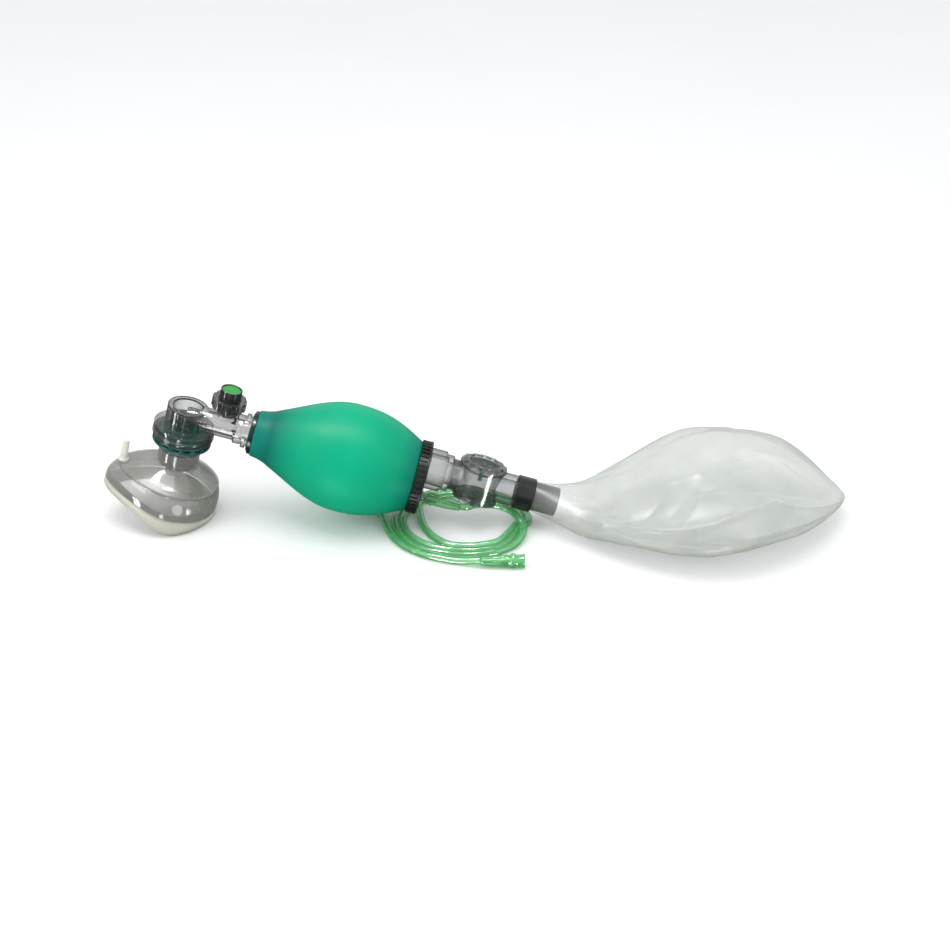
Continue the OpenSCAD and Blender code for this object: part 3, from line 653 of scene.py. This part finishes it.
bag_profile = []
for i in range(BAG_STEPS + 1):
    f = i / BAG_STEPS
    cuff = 0.35 * math.exp(-((f - 0.012) / 0.02) ** 2)
    cuff -= 0.3 * math.exp(-((f - 0.085) / 0.03) ** 2)
    bag_profile.append((BAG_X + BAG_LEN * f, bag_radius(f) + cuff))
bag_profile += [(x, r - BAG_WALL) for x, r in reversed(bag_profile)]
bag_points = [(x, r * math.cos(math.tau * k / BAG_SIDES), r * math.sin(math.tau * k / BAG_SIDES))
              for x, r in bag_profile for k in range(BAG_SIDES)]
squeeze = make("squeeze_shell", bag_points,
               grid_faces(len(bag_profile), BAG_SIDES, close_rows=True), BAG, LAID)
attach(squeeze, "resuscitator")
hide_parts("squeeze_bag")

# ------------------------------------------------------------------ relief spring
# A helix in millimetres from the crossing, closer at its ends than in its middle
SPRING_X, SPRING_R, SPRING_WIRE, SPRING_TURNS = 28.5, 3.75, 0.5, 6
SPRING_FROM, SPRING_TO = 14.1, 22.5
SPRING_POINTS, WIRE_SIDES = 150, 8
spring_points = []
for i in range(SPRING_POINTS + 1):
    f = i / SPRING_POINTS
    angle = math.tau * SPRING_TURNS * f
    out = Vector((math.cos(angle), math.sin(angle), 0))
    rise = mix(SPRING_FROM, SPRING_TO, mix(f, ease(f), 0.5))
    centre = Vector((SPRING_X, 0, rise)) + out * SPRING_R
    for k in range(WIRE_SIDES):
        b = math.tau * k / WIRE_SIDES
        round_wire = out * math.cos(b) + Vector((0, 0, math.sin(b)))
        spring_points.append(centre + SPRING_WIRE * round_wire)
spring_faces = grid_faces(SPRING_POINTS + 1, WIRE_SIDES)
spring_faces.append(tuple(range(WIRE_SIDES)))
spring_faces.append(tuple(SPRING_POINTS * WIRE_SIDES + k for k in range(WIRE_SIDES)))
spring = make("relief_coil_spring", spring_points, spring_faces, STEEL, LAID)
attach(spring, "resuscitator")
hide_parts("relief_spring")
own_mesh(spring)

# ------------------------------------------------------------------ reservoir bag
INTAKE_RISE = 9.5
SLEEVE_X = 250.4
FILM_FROM = SLEEVE_X + 13.4
FILM_X = FILM_FROM * math.cos(TILT) + INTAKE_RISE * math.sin(TILT)
FILM_Z = AXIS_HEIGHT - FILM_FROM * math.sin(TILT) + INTAKE_RISE * math.cos(TILT)
FILM_LEN, FILM_W, FILM_H, FILM_SWING, FILM_NECK, FILM_STRAIGHT = 232, 168, 62, 32, 11.6, 0.12
FILM_BLEND, FILM_MOST_OUT, TIP_REACH = 2.5, 3.2, 5
FILM_STEPS, FILM_SIDES = 190, 200


def film_tip(f, power):
    """Narrows the last stretch of the bag to its welded tip."""
    return 1 if f < 0.8 else max(0.02, 1 - ((f - 0.8) / 0.2) ** 2.4) ** power


def film_half_w(f):
    grow = math.sin(math.pi / 2 * min(1, f / 0.58)) ** 1.5
    close = 1 if f < 0.58 else math.cos(math.radians(80) * (f - 0.58) / 0.42) ** 0.6
    return mix(FILM_NECK, FILM_W / 2, grow) * close * film_tip(f, 0.55)


def film_half_h(f):
    grow = math.sin(math.pi / 2 * min(1, f / 0.6)) ** 1.6
    close = 1 if f < 0.6 else math.cos(math.radians(80) * (f - 0.6) / 0.4) ** 0.8
    return mix(FILM_NECK, FILM_H / 2, grow) * close * film_tip(f, 0.7)


def film_middle(f):
    y = FILM_SWING * f ** 1.6 - 7 * math.sin(math.pi * f ** 0.8)
    # The middle line rises off the neck's slope gradually, over twice the straight stretch.
    bend = (min(f, 2 * FILM_STRAIGHT) / 2) ** 2 / FILM_STRAIGHT + max(0, f - 2 * FILM_STRAIGHT)
    high = FILM_Z - f * FILM_LEN * math.tan(TILT) + 20 * bend
    low = film_half_h(f) + 12 * f ** 6
    return y, (high + low + math.hypot(high - low, FILM_BLEND)) / 2


# Creases: share of the length and angle round the bag at each end (0 is the back, 90 the
# crown, 180 the front), how far the film stands out, and the crease's width.
CREASES = [
    ((0.06, 150), (0.22, 158), 1.6, 3.5), ((0.22, 158), (0.5, 157), 2.6, 4),
    ((0.5, 157), (0.75, 140), 2.6, 4), ((0.75, 140), (0.97, 150), 2.0, 4),
    ((0.42, 108), (0.52, 108), 1.1, 3), ((0.5, 107), (0.8, 92), 1.2, 4),
    ((0.44, 112), (0.36, 140), -0.9, 8), ((0.5, 118), (0.43, 140), -0.7, 7),
    ((0.52, 122), (0.9, 128), -1.6, 5), ((0.7, 90), (0.97, 125), 1.5, 4),
    ((0.66, 175), (0.96, 165), 1.4, 4), ((0.72, 190), (0.97, 178), -1.3, 5),
    ((0.35, 60), (0.6, 40), -1.5, 9), ((0.6, 60), (0.95, 90), 1.2, 6),
    ((0.2, 80), (0.4, 70), -0.8, 12), ((0.3, 175), (0.6, 185), -1.4, 8),
]


def film_relief(f, a, half_w, half_h):
    """How far the film stands out at a share of its length and an angle round it."""
    here = Vector((f * FILM_LEN, math.radians(a) * (half_w + half_h) / 2))
    out = 0.0
    for (f0, a0), (f1, a1), high, wide in CREASES:
        p = Vector((f0 * FILM_LEN, math.radians(a0) * (half_w + half_h) / 2))
        q = Vector((f1 * FILM_LEN, math.radians(a1) * (half_w + half_h) / 2))
        t = min(1.0, max(0.0, (here - p).dot(q - p) / (q - p).length_squared))
        d = (here - p - (q - p) * t).length
        out += high * math.exp(-d / wide)
    at = Vector((f * 3.2, math.cos(math.radians(a)) * 0.9, math.sin(math.radians(a)) * 0.9))
    fine = at * 3.1 + Vector((5, 1, 2))
    return out + 2.4 * noise.noise(at * 1.3) + 1.1 * (0.5 - abs(noise.noise(fine)))


film_points = []
for j in range(FILM_STEPS + 1):
    f = j / FILM_STEPS
    half_w, half_h = film_half_w(f), film_half_h(f)
    mid_y, mid_z = film_middle(f)
    lean = TILT * (1 - ease(f / FILM_STRAIGHT))
    loose = ease((f - 0.09) / 0.15) * (1 - 0.75 * ease((f - 0.93) / 0.07))
    reach = TIP_REACH * ease((f - 0.82) / 0.18)
    for i in range(FILM_SIDES):
        a = 360 * i / FILM_SIDES
        c, s = math.cos(math.radians(a)), math.sin(math.radians(a))
        out = loose * min(1.5 * film_relief(f, a, half_w, half_h) - 2.2, FILM_MOST_OUT)
        normal = Vector((c / half_w, s / half_h)).normalized()
        up = half_h * s + normal.y * out
        film_points.append((FILM_X + FILM_LEN * f + up * math.sin(lean) + reach,
                            mid_y + half_w * c + normal.x * out - 0.8 * reach,
                            max(0.25, mid_z + up * math.cos(lean) + 0.7 * reach)))
film_faces = grid_faces(FILM_STEPS + 1, FILM_SIDES)
film_faces.append(tuple(FILM_STEPS * FILM_SIDES + i for i in range(FILM_SIDES)))
reservoir = make("reservoir_film", film_points, film_faces, FILM, FLOOR)
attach(reservoir, "reservoir")
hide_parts("reservoir_bag")

# ------------------------------------------------------------------ floor, lights
floor_mesh = bpy.data.meshes.new("floor")
FLOOR_HALF = 7
floor_mesh.from_pydata([(-FLOOR_HALF, -FLOOR_HALF, 0), (FLOOR_HALF, -FLOOR_HALF, 0),
                        (FLOOR_HALF, FLOOR_HALF, 0), (-FLOOR_HALF, FLOOR_HALF, 0)],
                       [], [(0, 1, 2, 3)])
floor = bpy.data.objects.new("floor", floor_mesh)
bpy.context.scene.collection.objects.link(floor)
floor.visible_glossy = False
floor_mesh.materials.append(moulded("floor_paint", (0.86, 0.86, 0.86), (0.88, 0.88, 0.88), 0.8,
                                    bumpy=0.0, broad=2))

scene = bpy.context.scene
world = bpy.data.worlds.new("studio")
scene.world = world
world.use_nodes = True
world_nodes, world_links = world.node_tree.nodes, world.node_tree.links
direction = world_nodes.new("ShaderNodeTexCoord")
split = world_nodes.new("ShaderNodeSeparateXYZ")
sky = world_nodes.new("ShaderNodeValToRGB")
sky.color_ramp.elements[0].position = 0.42
sky.color_ramp.elements[0].color = (0.10, 0.10, 0.10, 1)
sky.color_ramp.elements[1].position = 0.54
sky.color_ramp.elements[1].color = (0.95, 0.96, 0.97, 1)
half = world_nodes.new("ShaderNodeMapRange")
half.inputs["From Min"].default_value = -1
world_links.new(direction.outputs["Generated"], split.inputs[0])
world_links.new(split.outputs["Z"], half.inputs["Value"])
world_links.new(half.outputs["Result"], sky.inputs["Fac"])
world_links.new(sky.outputs["Color"], world_nodes["Background"].inputs["Color"])
world_nodes["Background"].inputs["Strength"].default_value = 1.0
scene.view_settings.view_transform = "Standard"
scene.cycles.transparent_max_bounces = 24
scene.cycles.max_bounces = 8


def softbox(name, at, aim, width, height, power, only_gloss=False, spread=180):
    """A rectangular lamp that looks from one point to another, both in the row frame."""
    lamp = bpy.data.lights.new(name, "AREA")
    lamp.shape = "RECTANGLE"
    lamp.size, lamp.size_y = width, height
    lamp.energy = power
    lamp.spread = math.radians(spread)
    obj = bpy.data.objects.new(name, lamp)
    scene.collection.objects.link(obj)
    obj.location = at
    obj.rotation_mode = "QUATERNION"
    obj.rotation_quaternion = (Vector(aim) - Vector(at)).to_track_quat("-Z", "Y")
    obj.visible_camera = False
    if only_gloss:
        obj.visible_diffuse = False
    return obj


softbox("top_light", (-0.1, -0.2, 1.6), (0, 0, 0), 1.2, 1.0, 9)
softbox("left_light", (-1.1, -0.7, 0.9), (0, 0, 0.05), 0.5, 0.7, 3)
softbox("right_light", (1.0, -0.6, 0.8), (0, 0, 0.05), 0.4, 0.6, 2)
softbox("window_left", (-1.0, -0.45, -0.35), (0, 0, 0.05), 0.14, 0.5, 4, only_gloss=True)
softbox("window_top_left", (-0.48, -0.12, 1.25), (-0.23, 0, 0.04), 0.24, 0.3, 12, only_gloss=True)
softbox("window_top_right", (0.08, -0.12, 1.25), (-0.2, 0, 0.04), 0.14, 0.3, 8, only_gloss=True)
# Two low windows, close by, make the barrel's upright reflections and reach little else.
BARREL_MIDDLE = LAID @ Vector((229, 0, 9.5))
WINDOW_AWAY, WINDOW_ACROSS, WINDOW_DOWN = 0.5, 0.87, 0.5
for side, degrees, width, power in (("left", -34, 0.2, 0.3), ("right", 38, 0.12, 0.18)):
    turn = math.radians(degrees)
    towards = Vector((math.sin(turn) * WINDOW_ACROSS, -math.cos(turn) * WINDOW_ACROSS,
                      -WINDOW_DOWN))
    softbox("window_barrel_" + side, BARREL_MIDDLE + towards * WINDOW_AWAY, BARREL_MIDDLE,
            width, 0.22, power, only_gloss=True, spread=50)
